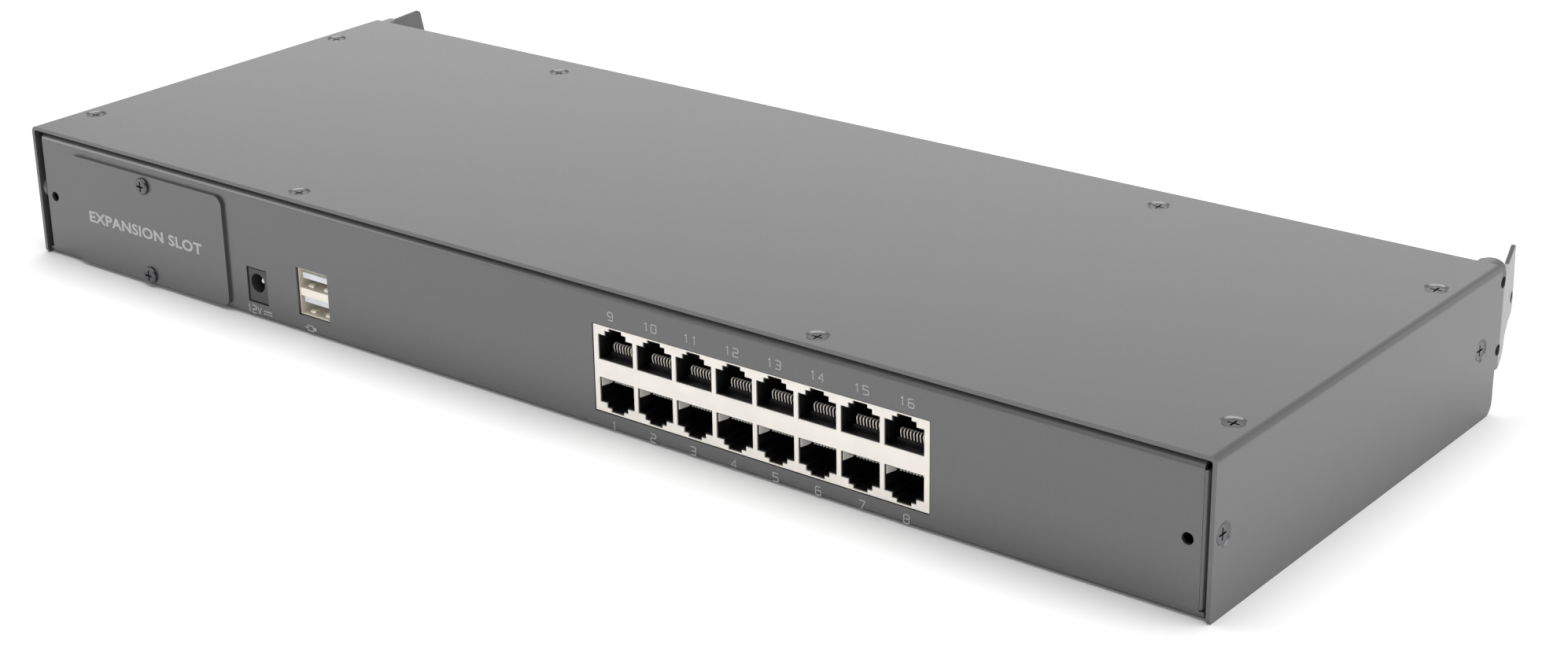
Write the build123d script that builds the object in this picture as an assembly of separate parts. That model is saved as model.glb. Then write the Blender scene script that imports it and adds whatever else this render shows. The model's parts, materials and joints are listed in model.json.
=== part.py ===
"""Rack KVM switch: a sheet-steel tray under a folded cover, a main board with its
connectors, and a pair of sprung channel buttons in the front wall.

Frame, in millimetres: +Z up, +X to the right as seen from the front, the front wall faces
-Y and the connector wall faces +Y. The origin is the middle of the tray's underside.
"""
import os
from math import cos, radians, sin, tan

from build123d import *

# ---- casing -------------------------------------------------------------------------
WIDTH, DEPTH, HEIGHT = 440.0, 156.0, 44.0      # the folded cover, without its ears
SHEET = 1.2                                    # steel sheet of the cover and the tray
COVER_BEND = 2.0                               # outside radius of the cover's folds
TRAY_BEND = 2.4                                # outside radius of the tray's folds
TOP_GAP = 0.9                                  # between the cover's top and the tray
END_GAP = 0.9                                  # between the cover's sides and the folded tabs
FLOOR_GAP = 0.6                                # between the cover's sides and the tray's floor
WALL_INSET = 0.8                               # end walls sit this far inside the cover
FLANGE = 14.0                                  # depth of the end walls' flanges
SIDE_FLANGE = 12.0                             # width of the side walls' flanges
TAB_DEPTH = 14.4                               # length of the end walls' folded tabs
RELIEF = 0.2                                   # slot between the tabs and the floor's fold
TAB_TOP_GAP = 2.3                              # from the tabs' top to the flange's top
WALL_END = 216.4                               # half width of the end walls' top flange
SIDE_WALL_HALF = 62.0                          # half length of the tray's side walls

HALF_W, HALF_D = WIDTH / 2, DEPTH / 2
FLOOR_HALF = HALF_W - SHEET - FLOOR_GAP
TAB_FACE = HALF_W - SHEET - END_GAP            # outside of the folded tabs
TRAY_TOP = HEIGHT - SHEET - TOP_GAP
REAR_FACE = HALF_D - WALL_INSET                # outside of the connector wall
REAR_INNER = REAR_FACE - SHEET
FRONT_FACE, FRONT_INNER = -REAR_FACE, -REAR_INNER

# ---- fasteners ----------------------------------------------------------------------
FLAT_HEAD_R, FLAT_HEAD_H = 2.7, 1.3            # M3 countersunk
SCREW_R, SCREW_LENGTH = 1.45, 7.0
HEAD_DROP = 0.35                               # heads sit this far under the surface
DIMPLE_R, DIMPLE_SEAT_R = 3.5, 3.0             # mouth and bottom of the dimple's rim
SINK_R, SINK_HOLE_R = 2.85, 1.7                # countersink under the rim
DIMPLE_BACK = (3.9, 3.2)                       # outside radii of the formed dimple
THREAD_R = 1.55                                # wall of the formed M3 threads
COLLAR_R, COLLAR_H = 2.6, 1.6                  # formed thread collars
PAN_HEAD_R, PAN_HEAD_H = 2.8, 1.1
CROSS_R, CROSS_DEPTH = 1.7, 0.8                # recess in the screw heads
TOP_SCREWS = [(sx * x, y) for sx in (1, -1)
              for x, y in ((212.6, 57.4), (98.5, 72.3), (212.7, -51.9), (118.2, -66.6))]
SIDE_SCREW_Y, SIDE_SCREW_Z = (73.1, -67.7), 22.3

# ---- rack ears, part of the cover's sheet --------------------------------------------
EAR_FLANGE = 2.0                               # straight part, forward of the cover
EAR_BOTTOM = 13.0
EAR_LEAN = 15.5                                # degrees that the ear turns inward
EAR_HOLE_R = 1.65                              # formed M4 threads
EAR_HINGE_R = 6.0                              # outside radius of the turn
EAR_COLLAR = 1.5                               # height of the collars inside the holes
EAR_HOLES_Y, EAR_HOLES_Z = -79.1, (18.8, 38.9)
EAR_SLOT_S, EAR_SLOT_Z, EAR_SLOT_R = 16.4, 28.2, 1.8   # hole near the ear's free edge
LIP_W, LIP_REACH, LIP_BEND = 7.7, 4.6, 4.6     # tongue of top sheet that curls into the ear

# ---- openings in the connector wall ----------------------------------------------------
PLATE_X, PLATE_Z = (128.5, 201.9), (1.4, 37.65)
PLATE_T, PLATE_CORNER = 1.0, 3.0
PLATE_SCREWS = ((165.5, 34.0), (165.7, 3.9))
SLOT_X, SLOT_Z = (137.0, 195.0), (8.0, 29.6)   # expansion slot behind the plate
WALL_HOLE_X, WALL_HOLE_Z, WALL_HOLE_R = 212.6, 20.7, 1.65
JACK_X, JACK_Z = (111.1, 120.1), (5.2, 16.8)
USB_X, USB_Z = (83.7, 97.4), (5.9, 21.4)
BLOCK_GAP = 0.3                                # around the network port block

# ---- circuit board ---------------------------------------------------------------------
BOARD_X, BOARD_Y, BOARD_T = (-152.0, 128.0), (FRONT_FACE + 2.6, REAR_FACE - 2.0), 1.6
BOARD_TOP = 5.6
STANDOFF_R, BOARD_HOLE_R = 2.6, 1.7
STANDOFFS = [(x, y) for x in (-147.0, -10.0, 60.0, 123.0) for y in (-62.0, 44.0)]

# ---- network port block: two rows of eight ----------------------------------------------
PORTS, PORT_PITCH = 8, 13.97
BLOCK_MID_X, BLOCK_W = -80.8, 113.7
BLOCK_Z = (5.6, 31.5)
BLOCK_FACE, BLOCK_DEPTH = REAR_FACE - 0.15, 25.0
SHIELD_T = 0.3
PORT_W, PORT_H = 12.6, 7.6                     # window for the plug's body
STEP_W, STEP_H = 7.8, 1.4                      # first step of the latch notch
NOTCH_W, NOTCH_H = 4.7, 0.95
ROW_GAP = 5.3                                  # bar between the two rows
CAVITY_DEPTH, CAVITY_LIP = 15.0, 0.3
WIRES, WIRE_PITCH, WIRE_W, WIRE_T = 8, 1.02, 0.46, 0.3
WIRE_RUN, WIRE_RISE = 8.6, 3.9                 # how far the wires reach back and up
LEDGE_H, LEDGE_START = 1.2, 3.2                # comb that the wires come out of
LEDGE_HALF = 4.8
LEAF_H = 2.4                                   # ground springs beside the lower ports
BLOCK_MID_Z = sum(BLOCK_Z) / 2

# ---- stacked USB receptacle --------------------------------------------------------------
USB_SHELL_X = (83.9, 97.1)
USB_DEPTH, USB_FACE = 17.0, REAR_FACE - 0.7
USB_T = 0.3
USB_BAR = 1.25                                 # half height of the bar between the ports
USB_PORT_Z = (9.6, 17.4)                       # middle of each port
USB_LEGS_Y = (USB_FACE - 12.0, USB_FACE - 8.0)
TONGUE_W, TONGUE_H, TONGUE_RECESS = 11.4, 1.84, 1.0
CORE_FACE = USB_FACE - 13.2                    # front of the moulded core
USB_STRIPS = (-3.5, -1.0, 1.0, 3.5)

# ---- power jack ---------------------------------------------------------------------------
JACK_BODY_X, JACK_BODY_TOP = (111.25, 119.6), 16.35
JACK_BORE_R, JACK_PIN_R, JACK_DEPTH, JACK_FACE = 3.1, 1.0, 14.0, REAR_FACE - 0.3
JACK_AXIS_X, JACK_AXIS_Z = 115.6, 11.9
JACK_BORE_DEPTH, JACK_PIN_RECESS = 10.0, 2.0

# ---- front wall: console connector, display and buttons --------------------------------------
BUTTON_XS = {"channel_up_button": -30.0, "channel_down_button": -46.0}
BUTTON_Z, BUTTON_R, BUTTON_OUT = 13.6, 3.5, 2.6
BUTTON_HOLE_R, STEM_R, SWITCH_BORE_R = 3.8, 1.25, 1.31
COLLAR_GAP, STEM_LENGTH = 0.15, 6.8            # button at rest, behind the wall
SWITCH_Y, SWITCH_HALF = (FRONT_FACE + 6.8, FRONT_FACE + 15.2), 4.0
DISPLAY_X, DISPLAY_Z = (-18.0, 8.0), (7.6, 20.6)
PANE_GAP, PANE_RIM = 0.15, 1.5
CONSOLE_X, CONSOLE_Z = 60.0, 13.0
CONSOLE_FLANGE = (31.0, 12.6)
CONSOLE_SHELL_W, CONSOLE_SHELL_H, CONSOLE_OUT = 16.6, 8.2, 5.6
CONSOLE_PITCH, CONSOLE_ROWS, CONSOLE_STAGGER = 2.29, (2.0, 0.0, -2.0), 0.57
JACKSCREW_SPAN, JACKSCREW_R = 25.0, 1.45


def block(xs, ys, zs):
    """A box from its limits along X, Y and Z."""
    return Pos(sum(xs) / 2, sum(ys) / 2, sum(zs) / 2) * Box(
        xs[1] - xs[0], ys[1] - ys[0], zs[1] - zs[0])


def rod(x, y, z, radius, length, direction="Z"):
    """A cylinder that starts at a point and runs along +X, +Y or +Z, or backwards."""
    turn = {"X": (0, 90, 0), "Y": (-90, 0, 0), "Z": (0, 0, 0),
            "-X": (0, -90, 0), "-Y": (90, 0, 0), "-Z": (180, 0, 0)}[direction]
    grow = (Align.CENTER, Align.CENTER, Align.MIN)
    return Pos(x, y, z) * Rot(*turn) * Cylinder(radius, length, align=grow)


def cone(x, y, z, wide, narrow, depth, direction="Z"):
    """A cone whose wide end is at a point and which narrows into the sheet."""
    turn = {"Z": (180, 0, 0), "X": (0, -90, 0), "-X": (0, 90, 0)}[direction]
    grow = (Align.CENTER, Align.CENTER, Align.MIN)
    return Pos(x, y, z) * Rot(*turn) * Cone(wide, narrow, depth, align=grow)


def prism_x(points, x, width):
    """An outline in Y and Z, as thick as width about x."""
    face = make_face(Polyline(*[(x - width / 2, y, z) for y, z in points], close=True))
    return extrude(face, width, dir=(1, 0, 0))


def prism_z(points, zs):
    """An outline in X and Y, extruded from zs[0] to zs[1]."""
    face = make_face(Polyline(*[(x, y, zs[0]) for x, y in points], close=True))
    return extrude(face, zs[1] - zs[0], dir=(0, 0, 1))


def rounded(solid, axis, radius, keep=lambda edge: True):
    """Rounds the edges of a solid that run along an axis."""
    return fillet([e for e in solid.edges().filter_by(axis) if keep(e)], radius)


def phillips(x, y, z, radius, depth, direction):
    """The cross recess of a screw head, as the body to cut away."""
    turn = {"Z": (0, 0, 0), "Y": (-90, 0, 0), "X": (0, 90, 0), "-X": (0, -90, 0)}[direction]
    arm = Box(2 * radius, 0.34 * radius, 2 * depth)
    cross = arm + Rot(0, 0, 90) * arm + Cone(0.02, 0.42 * radius, 2 * depth)
    return Pos(x, y, z) * Rot(*turn) * cross


def group(pieces):
    """Separate solids that share a node."""
    return Compound(children=list(pieces))


# ---- casing ---------------------------------------------------------------------------------
def ear_plate():
    """The turned plate of the ear at +X, with its rounded corners and its hole."""
    outline = [(0.0, EAR_BOTTOM), (2.0, 13.1), (5.2, 13.7), (7.6, 15.0), (8.6, 17.2), (8.8, 19.2),
               (11.5, 20.6), (13.4, 21.9), (18.4, 22.6), (20.2, 24.4), (20.0, 27.5), (16.9, 44.2),
               (5.0, 42.2), (0.0, HEIGHT - LIP_BEND)]
    face = make_face(Polyline(*outline, close=True))
    face = fillet([v for v in face.vertices() if 0.5 < v.X < 16.0 and v.Y < 23.0], 1.0)
    face = fillet([v for v in face.vertices() if v.X > 16.5], 1.2)
    plate = extrude(face, SHEET)
    plate -= Pos(EAR_SLOT_S, EAR_SLOT_Z, 0) * Cylinder(EAR_SLOT_R, 3 * SHEET)
    # local x runs forward along the ear, local y is up, and the sheet lies inward
    lean_x, lean_y = sin(radians(EAR_LEAN)), cos(radians(EAR_LEAN))
    hinge_y = -HALF_D - EAR_FLANGE
    plane = Plane(origin=(HALF_W, hinge_y, 0), x_dir=(-lean_x, -lean_y, 0), z_dir=(-lean_y, lean_x, 0))
    return plane * plate


def ear_lip():
    """The tongue of top sheet that curls down into the flange of the ear at +X."""
    front, bend_x, bend_z = -HALF_D, HALF_W - LIP_BEND, HEIGHT - LIP_BEND
    lip = rod(bend_x, front, bend_z, LIP_BEND, LIP_REACH, "-Y")
    lip -= rod(bend_x, front + 1, bend_z, LIP_BEND - SHEET, LIP_REACH + 2, "-Y")
    lip &= block((bend_x, HALF_W), (front - LIP_REACH, front), (bend_z, HEIGHT))
    lip += block((HALF_W - LIP_W, bend_x), (front - LIP_REACH, front), (HEIGHT - SHEET, HEIGHT))
    left, tip = HALF_W - LIP_W, front - LIP_REACH
    dome = prism_z([(left, front + 1), (left, tip + 2.4), (left + 1.7, tip), (HALF_W - 1.6, tip),
                    (HALF_W, tip + 2.0), (HALF_W, front + 1)], (bend_z - 1, HEIGHT + 1))
    dome = fillet([e for e in dome.edges().filter_by(Axis.Z) if e.center().Y < front - 1], 1.2)
    return lip & dome


def make_ear():
    """One ear at +X: a short flange, the lip over it and the turned plate."""
    front = -HALF_D
    ear = block((HALF_W - SHEET, HALF_W), (front - EAR_FLANGE, front), (EAR_BOTTOM, HEIGHT - LIP_BEND))
    ear = ear + ear_plate()
    hinge = [e for e in ear.edges().filter_by(Axis.Z)
             if e.length > 20 and e.center().X > HALF_W - 0.1 and e.center().Y < front - 1]
    ear = fillet(hinge, EAR_HINGE_R) + ear_lip()
    for z in EAR_HOLES_Z:
        ear += rod(HALF_W - SHEET / 2, EAR_HOLES_Y, z, EAR_HOLE_R + 0.8, EAR_COLLAR + SHEET / 2, "-X")
    return ear


def cut_dimple(cover, x, y, z, direction, gap):
    """A formed dimple with a countersunk hole; gap is what it bridges to the sheet below."""
    inward = {"Z": "-Z", "X": "-X", "-X": "X"}[direction]
    step = {"Z": (0, 0, -1), "X": (-1, 0, 0), "-X": (1, 0, 0)}[direction]

    def at(depth):
        return x + step[0] * depth, y, z + step[2] * depth

    cover += cone(*at(SHEET - 0.1), *DIMPLE_BACK, gap + 0.1, direction)
    cover -= cone(*at(0), DIMPLE_R, DIMPLE_SEAT_R, HEAD_DROP, direction)
    cover -= cone(*at(HEAD_DROP), SINK_R, SINK_HOLE_R, FLAT_HEAD_H, direction)
    return cover - rod(*at(0), SINK_HOLE_R, SHEET + gap + 1, inward)


def make_top_cover():
    outer = rounded(Pos(0, 0, HEIGHT / 2) * Box(WIDTH, DEPTH, HEIGHT), Axis.Y, COVER_BEND,
                    lambda e: e.center().Z > HEIGHT / 2)
    inner = rounded(Pos(0, 0, HEIGHT / 2 - SHEET) * Box(WIDTH - 2 * SHEET, 2 * DEPTH, HEIGHT),
                    Axis.Y, COVER_BEND - SHEET, lambda e: e.center().Z > 0)
    cover = outer - inner
    for y_side, radius in ((-1, 4.0), (1, 1.2)):
        foot = [e for e in cover.edges().filter_by(Axis.X)
                if e.center().Z < 0.1 and e.center().Y * y_side > 0]
        cover = fillet(foot, radius)
    ear = make_ear()
    cover = cover + ear + mirror(ear, Plane.YZ)
    for side, direction in ((1, "X"), (-1, "-X")):
        inward = {"X": "-X", "-X": "X"}[direction]
        for z in EAR_HOLES_Z:
            cover -= rod(side * (HALF_W + 1), EAR_HOLES_Y, z, EAR_HOLE_R, 6, inward)
        for y in SIDE_SCREW_Y:
            cover = cut_dimple(cover, side * HALF_W, y, SIDE_SCREW_Z, direction, END_GAP)
    for x, y in TOP_SCREWS:
        cover = cut_dimple(cover, x, y, HEIGHT, "Z", TOP_GAP)
    return cover


def end_tabs(face_y, inward):
    """The tabs folded inward at both ends of an end wall. inward is -1 at the rear."""
    ys = sorted((face_y, face_y + inward * TAB_DEPTH))
    zs = (TRAY_BEND + RELIEF, TRAY_TOP - TAB_TOP_GAP)
    tabs = block((-TAB_FACE, TAB_FACE), ys, zs)
    tabs = rounded(tabs, Axis.Z, TRAY_BEND, lambda e: abs(e.center().Y - face_y) < 0.1)
    hollow = Pos(0, face_y + inward * (SHEET + TAB_DEPTH), 20) * Box(
        2 * (TAB_FACE - SHEET), 2 * TAB_DEPTH, 80)
    tabs -= rounded(hollow, Axis.Z, TRAY_BEND - SHEET,
                    lambda e: abs(e.center().Y - face_y) < 2 * SHEET)
    return tabs - Box(2 * WALL_END - 8, 2 * WIDTH, 200)


def make_base_tray():
    # end walls with their folds; the upper fold stops at the tabs, the lower one runs past them
    outer = rounded(Pos(0, 0, TRAY_TOP / 2) * Box(2 * TAB_FACE, 2 * REAR_FACE, TRAY_TOP),
                    Axis.X, TRAY_BEND)
    inner = rounded(Pos(0, 0, TRAY_TOP / 2) * Box(WIDTH, 2 * REAR_INNER, TRAY_TOP - 2 * SHEET),
                    Axis.X, TRAY_BEND - SHEET)
    tray = outer - inner
    mouth = REAR_FACE - FLANGE
    tray -= block((-HALF_W, HALF_W), (-mouth, mouth), (TRAY_TOP - 3, TRAY_TOP + 1))
    for side in (1, -1):
        end = sorted((side * WALL_END, side * HALF_W))
        tray -= block(end, (-DEPTH, DEPTH), (TRAY_BEND, TRAY_TOP + 1))
        foot = sorted((side * (FLOOR_HALF - TRAY_BEND - 1), side * HALF_W))
        tray -= block(foot, (-SIDE_WALL_HALF, SIDE_WALL_HALF), (-1, TRAY_BEND))
    wall = rounded(Pos(0, 0, TRAY_TOP / 2) * Box(2 * FLOOR_HALF, 2 * SIDE_WALL_HALF, TRAY_TOP),
                   Axis.Y, TRAY_BEND)
    room = rounded(Pos(0, 0, TRAY_TOP / 2) * Box(2 * (FLOOR_HALF - SHEET), DEPTH, TRAY_TOP - 2 * SHEET),
                   Axis.Y, TRAY_BEND - SHEET)
    side_mouth = FLOOR_HALF - SIDE_FLANGE
    wall = wall - room - block((-side_mouth, side_mouth), (-DEPTH, DEPTH), (TRAY_TOP - 3, TRAY_TOP + 1))
    tray += wall
    tray += end_tabs(REAR_FACE, -1) + end_tabs(FRONT_FACE, 1)
    return cut_front_openings(cut_rear_openings(add_threads(tray)))


def add_threads(tray):
    """Formed thread collars under every screw of the cover."""
    for x, y in TOP_SCREWS:
        tray += rod(x, y, TRAY_TOP - SHEET, COLLAR_R, COLLAR_H, "-Z")
        tray -= rod(x, y, TRAY_TOP + 1, THREAD_R, 6, "-Z")
    for side, inward in ((1, "-X"), (-1, "X")):
        for y in SIDE_SCREW_Y:
            tray += rod(side * (TAB_FACE - SHEET), y, SIDE_SCREW_Z, COLLAR_R, COLLAR_H, inward)
            tray -= rod(side * (TAB_FACE + 1), y, SIDE_SCREW_Z, THREAD_R, 6, inward)
    return tray


def cut_rear_openings(tray):
    """Windows for the connectors, the expansion slot and the threaded holes."""
    ys = (REAR_INNER - 1, REAR_FACE + 1)
    half = BLOCK_W / 2 + BLOCK_GAP
    tray -= block((BLOCK_MID_X - half, BLOCK_MID_X + half), ys,
                  (BLOCK_Z[0] - BLOCK_GAP, BLOCK_Z[1] + BLOCK_GAP))
    tray -= block(JACK_X, ys, JACK_Z)
    tray -= block(USB_X, ys, USB_Z)
    tray -= rounded(block(SLOT_X, ys, SLOT_Z), Axis.Y, 2.0)
    for x, z in PLATE_SCREWS:
        tray += rod(x, REAR_INNER, z, 2.0, COLLAR_H, "-Y")
        tray -= rod(x, REAR_FACE + 1, z, THREAD_R, 6, "-Y")
    for side in (1, -1):
        tray -= rod(side * WALL_HOLE_X, REAR_FACE + 1, WALL_HOLE_Z, WALL_HOLE_R, 4, "-Y")
    return tray


def cut_front_openings(tray):
    """Holes for the buttons, the display and the console connector."""
    ys = (FRONT_FACE - 1, FRONT_INNER + 1)
    for x in BUTTON_XS.values():
        tray -= rod(x, FRONT_FACE - 1, BUTTON_Z, BUTTON_HOLE_R, 4, "Y")
    tray -= block(DISPLAY_X, ys, DISPLAY_Z)
    half_w, half_h = CONSOLE_SHELL_W / 2 + 0.4, CONSOLE_SHELL_H / 2 + 0.4
    tray -= block((CONSOLE_X - half_w, CONSOLE_X + half_w), ys, (CONSOLE_Z - half_h, CONSOLE_Z + half_h))
    for side in (1, -1):
        x = CONSOLE_X + side * JACKSCREW_SPAN / 2
        tray -= rod(x, FRONT_FACE - 1, CONSOLE_Z, JACKSCREW_R + 0.25, 4, "Y")
    return tray


def make_option_cover_plate():
    plate = rounded(block(PLATE_X, (REAR_FACE, REAR_FACE + PLATE_T), PLATE_Z), Axis.Y, PLATE_CORNER)
    for x, z in PLATE_SCREWS:
        plate -= rod(x, REAR_FACE - 1, z, SCREW_R + 0.3, 4, "Y")
    return plate


def flat_screw(x, y, z, direction):
    """Countersunk screw whose head's face is at a point, facing +Z, +X or -X."""
    back = {"Z": "-Z", "X": "-X", "-X": "X"}[direction]
    head = cone(x, y, z, FLAT_HEAD_R, SCREW_R, FLAT_HEAD_H, direction)
    shank = rod(x, y, z, SCREW_R, SCREW_LENGTH, back)
    return head + shank - phillips(x, y, z, CROSS_R, CROSS_DEPTH, direction)


def make_cover_top_screws():
    return group(flat_screw(x, y, HEIGHT - HEAD_DROP, "Z") for x, y in TOP_SCREWS)


def make_cover_side_screws():
    face = HALF_W - HEAD_DROP
    return group(flat_screw(side * face, y, SIDE_SCREW_Z, "X" if side > 0 else "-X")
                 for side in (1, -1) for y in SIDE_SCREW_Y)


def make_option_plate_screws():
    screws = []
    for x, z in PLATE_SCREWS:
        base = REAR_FACE + PLATE_T
        head = rod(x, base, z, PAN_HEAD_R, PAN_HEAD_H, "Y")
        rim = [e for e in head.edges().filter_by(GeomType.CIRCLE) if e.center().Y > base + 0.5]
        head = fillet(rim, 0.7)
        shank = rod(x, base, z, SCREW_R, 4.2, "-Y")
        screws.append(head + shank - phillips(x, base + PAN_HEAD_H, z, CROSS_R, CROSS_DEPTH, "Y"))
    return group(screws)


# ---- circuit board ------------------------------------------------------------------------
def make_main_board():
    board = rounded(block(BOARD_X, BOARD_Y, (BOARD_TOP - BOARD_T, BOARD_TOP)), Axis.Z, 2.0)
    for x, y in STANDOFFS:
        board -= rod(x, y, 0, BOARD_HOLE_R, 10)
    return board


def make_board_standoffs():
    height = BOARD_TOP - BOARD_T - SHEET
    return group(rod(x, y, SHEET, STANDOFF_R, height) - rod(x, y, SHEET + 0.6, THREAD_R, 5)
                 for x, y in STANDOFFS)


def make_board_screws():
    screws = []
    for x, y in STANDOFFS:
        head = rod(x, y, BOARD_TOP, PAN_HEAD_R, 1.6)
        head = fillet(head.edges().filter_by(GeomType.CIRCLE).sort_by(Axis.Z)[-1:], 0.8)
        shank = rod(x, y, BOARD_TOP, SCREW_R, 3.6, "-Z")
        screws.append(head + shank - phillips(x, y, BOARD_TOP + 1.6, CROSS_R, CROSS_DEPTH, "Z"))
    return group(screws)


# ---- network ports ---------------------------------------------------------------------------
def port_centres():
    """Middle of every port along X, from the first port (seen at the rear's left) on."""
    first = BLOCK_MID_X + PORT_PITCH * (PORTS - 1) / 2
    return [first - PORT_PITCH * i for i in range(PORTS)]


def port_outline(x, up, inset, ys):
    """One port's window and stepped latch notch, as a body; up is 1 or -1."""
    floor = BLOCK_MID_Z + up * ROW_GAP / 2
    levels = ((PORT_W, 0.0, PORT_H), (STEP_W, PORT_H, PORT_H + STEP_H),
              (NOTCH_W, PORT_H + STEP_H, PORT_H + STEP_H + NOTCH_H))
    body = Part()
    for width, low, high in levels:
        zs = sorted((floor + up * (low + (inset if low == 0 else -0.5)), floor + up * (high - inset)))
        body += block((x - width / 2 + inset, x + width / 2 - inset), ys, zs)
    return body


def make_port_housing():
    half = BLOCK_W / 2 - SHIELD_T
    back = BLOCK_FACE - BLOCK_DEPTH + SHIELD_T
    front = BLOCK_FACE - SHIELD_T
    housing = block((BLOCK_MID_X - half, BLOCK_MID_X + half), (back, front),
                    (BLOCK_Z[0] + SHIELD_T, BLOCK_Z[1] - SHIELD_T))
    for x in port_centres():
        for up in (1, -1):
            housing -= port_outline(x, up, CAVITY_LIP, (front - CAVITY_DEPTH, front + 1))
            floor = BLOCK_MID_Z + up * (ROW_GAP / 2 + CAVITY_LIP)
            comb = block((x - LEDGE_HALF, x + LEDGE_HALF), (front - CAVITY_DEPTH, front - LEDGE_START),
                         sorted((floor, floor + up * LEDGE_H)))
            housing += comb
    return housing


def make_port_shield():
    half = BLOCK_W / 2
    back = BLOCK_FACE - BLOCK_DEPTH
    shell = block((BLOCK_MID_X - half, BLOCK_MID_X + half), (back, BLOCK_FACE), BLOCK_Z)
    inside = half - SHIELD_T
    shell -= block((BLOCK_MID_X - inside, BLOCK_MID_X + inside), (back + SHIELD_T, BLOCK_FACE - SHIELD_T),
                   (BLOCK_Z[0] + SHIELD_T, BLOCK_Z[1] - SHIELD_T))
    for x in port_centres():
        for up in (1, -1):
            shell -= port_outline(x, up, 0.0, (BLOCK_FACE - 1, BLOCK_FACE + 1))
    return shell


def make_port_contacts():
    """Eight sprung wires in each port, sloping away from the comb."""
    front = BLOCK_FACE - SHIELD_T - LEDGE_START
    back = front - WIRE_RUN
    wires = []
    for x in port_centres():
        for up in (1, -1):
            low = BLOCK_MID_Z + up * (ROW_GAP / 2 + CAVITY_LIP + LEDGE_H + 0.02)
            outline = [(front, low), (front, low + up * WIRE_T), (front - 0.6, low + up * 0.6),
                       (back, low + up * WIRE_RISE), (back, low + up * (WIRE_RISE - 1.2 * WIRE_T)),
                       (front - 1.0, low)]
            wires += [prism_x(outline, x + WIRE_PITCH * (i - (WIRES - 1) / 2), WIRE_W)
                      for i in range(WIRES)]
    return group(wires)


def make_port_ground_springs():
    """A leaf of the shield beside each lower port, to grip the plug."""
    front = BLOCK_FACE - SHIELD_T
    high = BLOCK_MID_Z - ROW_GAP / 2 - CAVITY_LIP - 0.2
    leaves = []
    for x in port_centres():
        wall = x + PORT_W / 2 - CAVITY_LIP
        outline = [(wall - 0.05, front - 0.2), (wall - 0.25, front - 0.2), (wall - 0.95, front - 3.4),
                   (wall - 0.35, front - 5.6), (wall - 0.15, front - 5.6), (wall - 0.72, front - 3.4)]
        leaves.append(prism_z(outline, (high - LEAF_H, high)))
    return group(leaves)


# ---- stacked USB receptacle --------------------------------------------------------------------
def usb_limits(margin=0.0):
    return (USB_SHELL_X[0] + margin, USB_SHELL_X[1] - margin)


def make_usb_shell():
    """Outer shell with the bar between its two ports, its solder legs and its grip springs."""
    zs = (USB_Z[0] + 0.2, USB_Z[1] - 0.2)
    shell = block(usb_limits(), (USB_FACE - USB_DEPTH, USB_FACE), zs)
    shell -= block(usb_limits(USB_T), (USB_FACE - USB_DEPTH + USB_T, USB_FACE + 1),
                   (zs[0] + USB_T, zs[1] - USB_T))
    middle = sum(USB_PORT_Z) / 2
    bar = block(usb_limits(USB_T), (CORE_FACE + 0.2, USB_FACE), (middle - USB_BAR, middle + USB_BAR))
    bar -= block(usb_limits(2 * USB_T), (CORE_FACE - 1, USB_FACE - USB_T),
                 (middle - USB_BAR + USB_T, middle + USB_BAR - USB_T))
    for x in usb_limits(0.8):
        shell += block((x - 0.7, x + 0.7), USB_LEGS_Y, (BOARD_TOP, zs[0]))
    for x in usb_limits(3.2):
        for z in (zs[0] + USB_T - 0.2, middle + USB_BAR - 0.2):
            bump = rod(x - 1.1, USB_FACE - 2.8, z, 1.0, 2.2, "X")
            shell += bump & block((x - 2, x + 2), (USB_FACE - 5, USB_FACE), (z, z + 1.2))
    return shell + bar


def make_usb_insulator():
    """The moulded core with a tongue for each port."""
    back = USB_FACE - USB_DEPTH + USB_T + 0.1
    core = block(usb_limits(USB_T + 0.1), (back, CORE_FACE), (USB_Z[0] + 0.6, USB_Z[1] - 0.6))
    middle = sum(USB_SHELL_X) / 2
    for z in USB_PORT_Z:
        core += block((middle - TONGUE_W / 2, middle + TONGUE_W / 2),
                      (CORE_FACE - 0.2, USB_FACE - TONGUE_RECESS), (z + 0.3, z + 0.3 + TONGUE_H))
    return core


def make_usb_contacts():
    middle = sum(USB_SHELL_X) / 2
    strips = []
    for z in USB_PORT_Z:
        for offset in USB_STRIPS:
            strips.append(block((middle + offset - 0.5, middle + offset + 0.5),
                                (CORE_FACE + 0.3, USB_FACE - TONGUE_RECESS - 1.6), (z + 0.1, z + 0.29)))
    return group(strips)


# ---- power jack -----------------------------------------------------------------------------------
def make_dc_jack_body():
    body = block(JACK_BODY_X, (JACK_FACE - JACK_DEPTH, JACK_FACE), (BOARD_TOP, JACK_BODY_TOP))
    body -= rod(JACK_AXIS_X, JACK_FACE + 1, JACK_AXIS_Z, JACK_BORE_R, JACK_BORE_DEPTH + 1, "-Y")
    body -= block((JACK_AXIS_X - 3.6, JACK_AXIS_X - 2.0), (JACK_FACE - 9.6, JACK_FACE - 1.0),
                  (JACK_AXIS_Z - 1.2, JACK_AXIS_Z + 1.2))
    return body


def make_dc_jack_pin():
    length = JACK_BORE_DEPTH - JACK_PIN_RECESS
    pin = rod(JACK_AXIS_X, JACK_FACE - JACK_BORE_DEPTH, JACK_AXIS_Z, JACK_PIN_R, length, "Y")
    return fillet(pin.edges().filter_by(GeomType.CIRCLE).sort_by(Axis.Y)[-1:], 0.5)


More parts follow.
